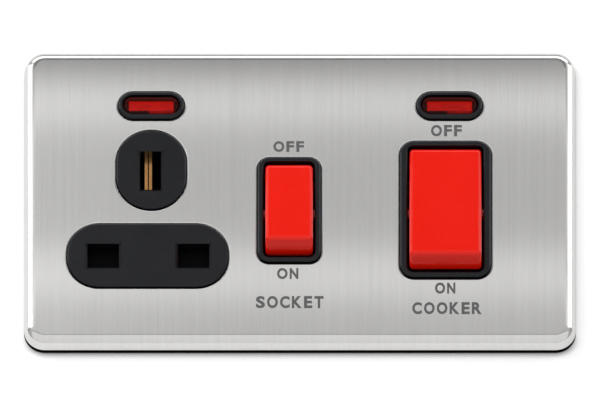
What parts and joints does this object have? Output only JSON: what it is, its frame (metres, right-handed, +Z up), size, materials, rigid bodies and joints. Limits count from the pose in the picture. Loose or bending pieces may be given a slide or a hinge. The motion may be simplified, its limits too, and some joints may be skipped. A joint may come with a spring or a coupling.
{
  "type": "cooker control unit",
  "caption": "Two-gang steel cooker control unit with a large red switch, a smaller switched three-pin socket and neon lamps.",
  "frame": {"origin": "middle of the two box-fixing holes, on the wall plane at the frame's back face", "axes": "+X to the right seen from the front, +Y into the wall, +Z up; the front faces -Y"},
  "size_m": [0.146, 0.0404, 0.086],
  "materials": {
    "brushed_plate": "vertical brushed",
    "frame_black": "moulded, satin",
    "moulding_black": "moulded, satin",
    "base_black": "moulded, matt",
    "rocker_red": "moulded, polished",
    "lens_red": "clear red, polished",
    "brass": "pressed strip",
    "copper": "pressed copper strip",
    "silver": "silver rivets",
    "spring_steel": "drawn wire",
    "zinc_screw": "zinc plated",
    "terminal_brass": "drawn bar",
    "shutter_black": "moulded",
    "nose_white": "moulded",
    "lamp_glass": "clear",
    "resistor_body": "lacquered",
    "tinned_lead": "tinned wire"
  },
  "bodies": {
    "unit": {"front_plate": "brushed_plate", "support_frame": "frame_black", "socket_front": "moulding_black", "cooker_front": "moulding_black", "socket_neon_bezel": "moulding_black", "cooker_neon_bezel": "moulding_black", "socket_base": "base_black", "cooker_base": "base_black", "socket_neon_lens": "lens_red", "cooker_neon_lens": "lens_red", "line_contact": "brass", "neutral_contact": "brass", "earth_contact": "brass", "earth_strap": "brass", "earth_tab": "brass", "socket_fixed_strap": "copper", "line_fixed_strap": "copper", "neutral_fixed_strap": "copper", "socket_pivot_strap": "copper", "line_pivot_strap": "copper", "neutral_pivot_strap": "copper", "line_link": "copper", "neutral_link": "copper", "fixed_tips": "silver", "shutter_spring": "spring_steel", "module_screws": "zinc_screw", "base_screws": "zinc_screw", "main_terminal_screws": "zinc_screw", "earth_terminal_screws": "zinc_screw", "line_supply_terminal": "terminal_brass", "neutral_supply_terminal": "terminal_brass", "line_load_terminal": "terminal_brass", "neutral_load_terminal": "terminal_brass", "earth_terminal": "terminal_brass", "socket_neon_lamp": "lamp_glass", "cooker_neon_lamp": "lamp_glass", "socket_neon_resistor": "resistor_body", "cooker_neon_resistor": "resistor_body", "socket_neon_leads": "tinned_lead", "cooker_neon_leads": "tinned_lead"},
    "socket_rocker": {"socket_rocker": "rocker_red", "socket_plunger_spring": "spring_steel"},
    "cooker_rocker": {"cooker_rocker": "rocker_red", "line_plunger_spring": "spring_steel", "neutral_plunger_spring": "spring_steel"},
    "socket_plunger": {"socket_plunger": "nose_white"},
    "line_plunger": {"line_plunger": "nose_white"},
    "neutral_plunger": {"neutral_plunger": "nose_white"},
    "socket_seesaw": {"socket_seesaw": "copper", "socket_moving_tip": "silver"},
    "line_seesaw": {"line_seesaw": "copper", "line_moving_tip": "silver"},
    "neutral_seesaw": {"neutral_seesaw": "copper", "neutral_moving_tip": "silver"},
    "shutter": {"shutter": "shutter_black"}
  },
  "joints": [
    {"name": "socket_switch", "type": "hinge", "parent": "unit", "child": "socket_rocker", "pos_m": [-0.00287, -0.0025, -0.00405], "axis": [1, 0, 0], "range_deg": [0, 18]},
    {"name": "cooker_switch", "type": "hinge", "parent": "unit", "child": "cooker_rocker", "pos_m": [0.0385, -0.0025, -0.0039], "axis": [1, 0, 0], "range_deg": [0, 18]},
    {"name": "socket_contact_rock", "type": "hinge", "parent": "unit", "child": "socket_seesaw", "pos_m": [-0.00287, 0.0122, -0.00405], "axis": [1, 0, 0], "range_deg": [-16, 0]},
    {"name": "line_contact_rock", "type": "hinge", "parent": "unit", "child": "line_seesaw", "pos_m": [0.0335, 0.0122, -0.0039], "axis": [1, 0, 0], "range_deg": [-16, 0]},
    {"name": "neutral_contact_rock", "type": "hinge", "parent": "unit", "child": "neutral_seesaw", "pos_m": [0.0435, 0.0122, -0.0039], "axis": [1, 0, 0], "range_deg": [-16, 0]},
    {"name": "socket_plunger_slide", "type": "slide", "parent": "socket_rocker", "child": "socket_plunger", "axis": [0, -0.9877, 0.1564], "range_m": [0, 0.001], "stiffness_N_per_m": 600, "springref_m": -0.002, "deforming": ["socket_plunger_spring"]},
    {"name": "line_plunger_slide", "type": "slide", "parent": "cooker_rocker", "child": "line_plunger", "axis": [0, -0.9877, 0.1564], "range_m": [0, 0.001], "stiffness_N_per_m": 600, "springref_m": -0.002, "deforming": ["line_plunger_spring"]},
    {"name": "neutral_plunger_slide", "type": "slide", "parent": "cooker_rocker", "child": "neutral_plunger", "axis": [0, -0.9877, 0.1564], "range_m": [0, 0.001], "stiffness_N_per_m": 600, "springref_m": -0.002, "deforming": ["neutral_plunger_spring"]},
    {"name": "shutter_slide", "type": "slide", "parent": "unit", "child": "shutter", "axis": [0, 0, -1], "range_m": [0, 0.0054], "stiffness_N_per_m": 60, "springref_m": -0.01, "deforming": ["shutter_spring"]}
  ],
  "couplings": [
    {"joint": "socket_contact_rock", "follows": "socket_switch", "ratio": -0.88889},
    {"joint": "line_contact_rock", "follows": "cooker_switch", "ratio": -0.88889},
    {"joint": "neutral_contact_rock", "follows": "cooker_switch", "ratio": -0.88889}
  ]
}
